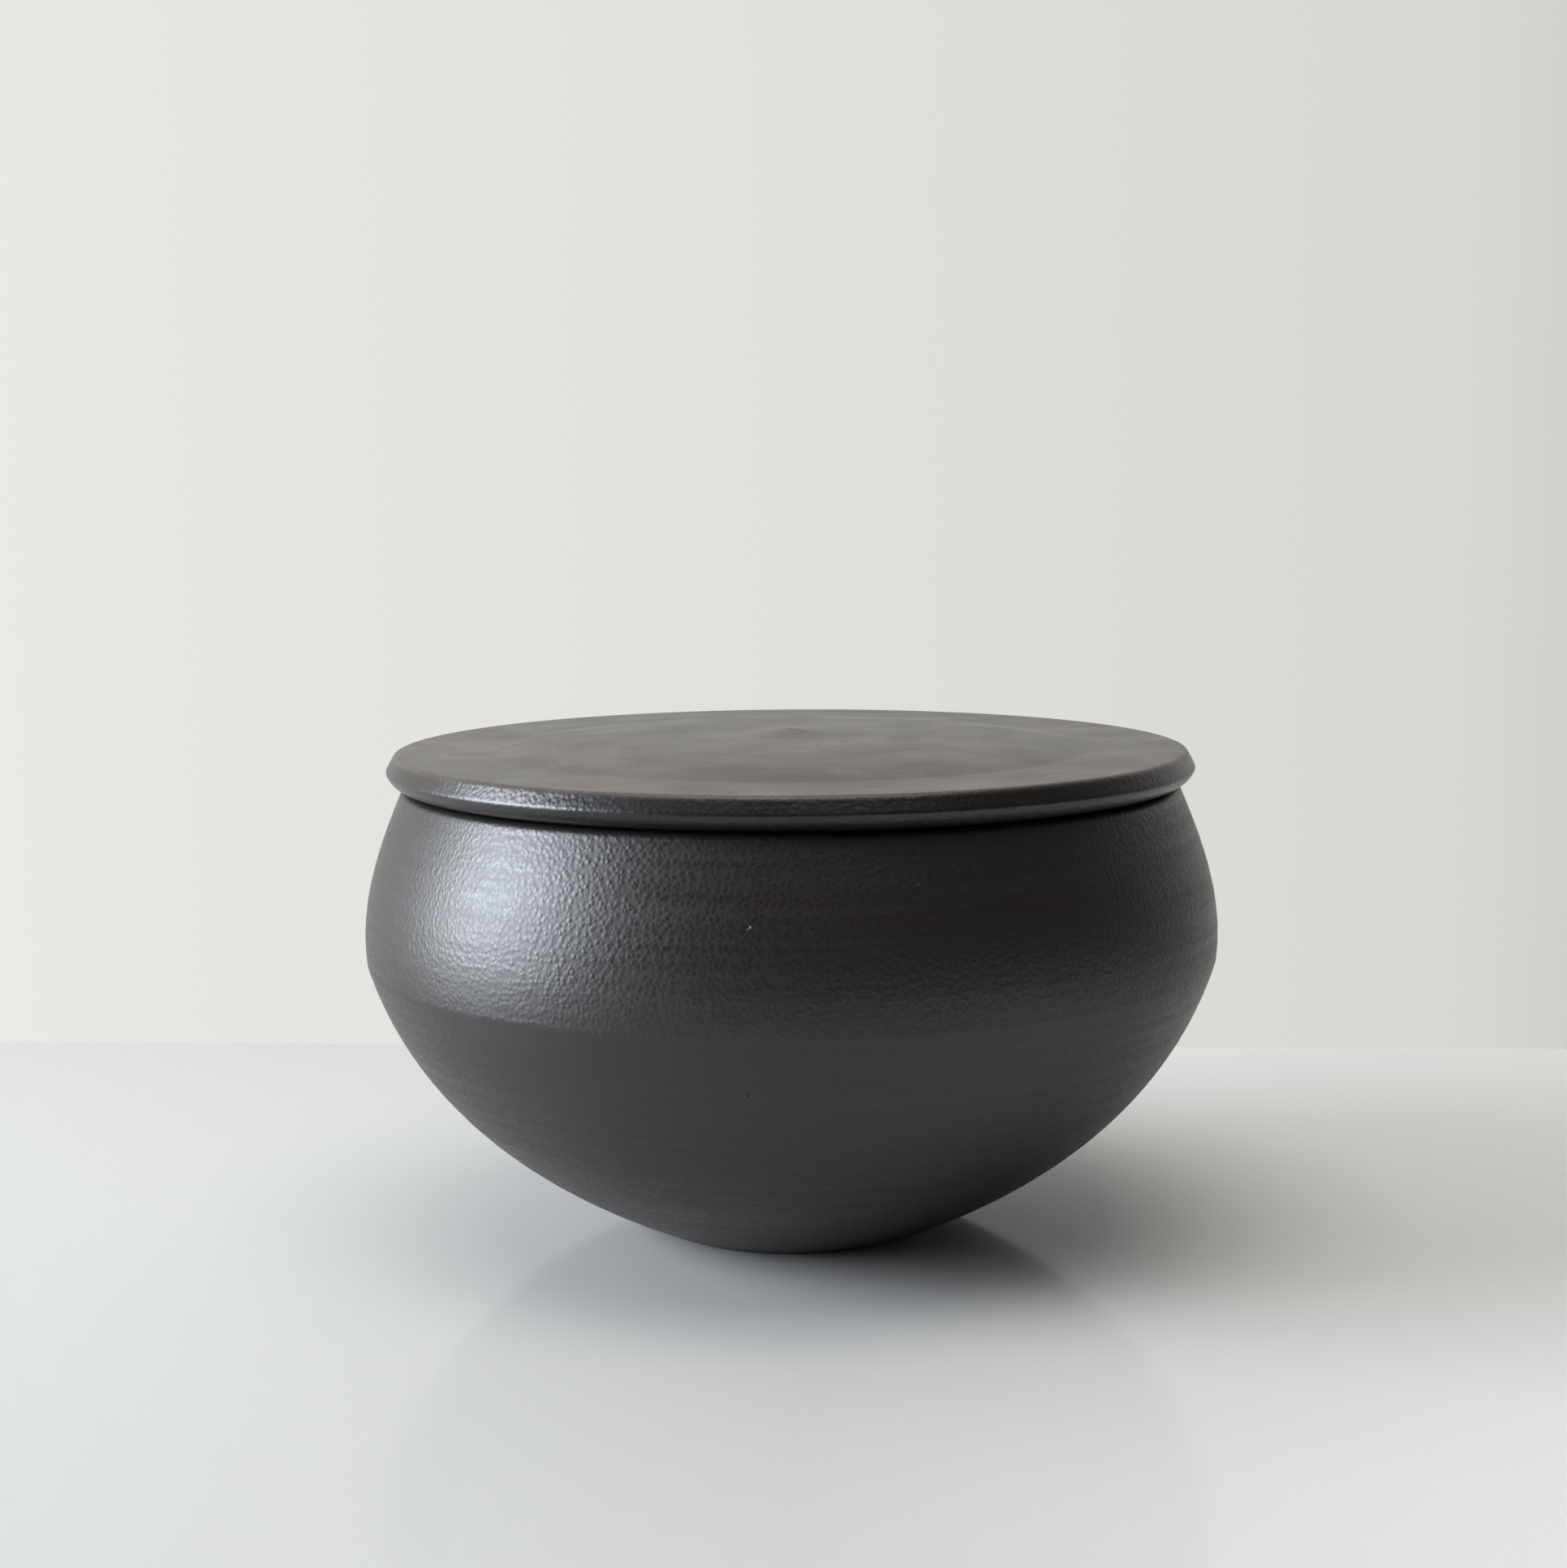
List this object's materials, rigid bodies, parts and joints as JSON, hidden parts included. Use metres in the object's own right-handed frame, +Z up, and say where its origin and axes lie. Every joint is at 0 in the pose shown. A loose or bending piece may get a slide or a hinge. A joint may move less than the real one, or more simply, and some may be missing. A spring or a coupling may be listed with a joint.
{
  "type": "lidded jar",
  "caption": "Low round stoneware jar with a small turned foot, a soft ridge under its drawn-in shoulder, and a flat loose lid held in the mouth by a flange.",
  "frame": {"origin": "centre of the foot, on the surface that the jar stands on", "axes": "+Z up along the jar's axis, which the lid lifts along; the jar is round, so X and Y are free"},
  "size_m": [0.1558, 0.1558, 0.0917],
  "materials": {
    "jar_glaze": "dark brown-black satin glaze with fine turning lines",
    "lid_glaze": "matt dark grey-brown glaze, glossier on the edge"
  },
  "bodies": {
    "jar": {"jar_body": "jar_glaze"},
    "lid": {"lid": "lid_glaze"}
  },
  "joints": [
    {"name": "lid_lift", "type": "slide", "parent": "jar", "child": "lid", "axis": [0, 0, 1], "range_m": [0, 0.1]}
  ]
}
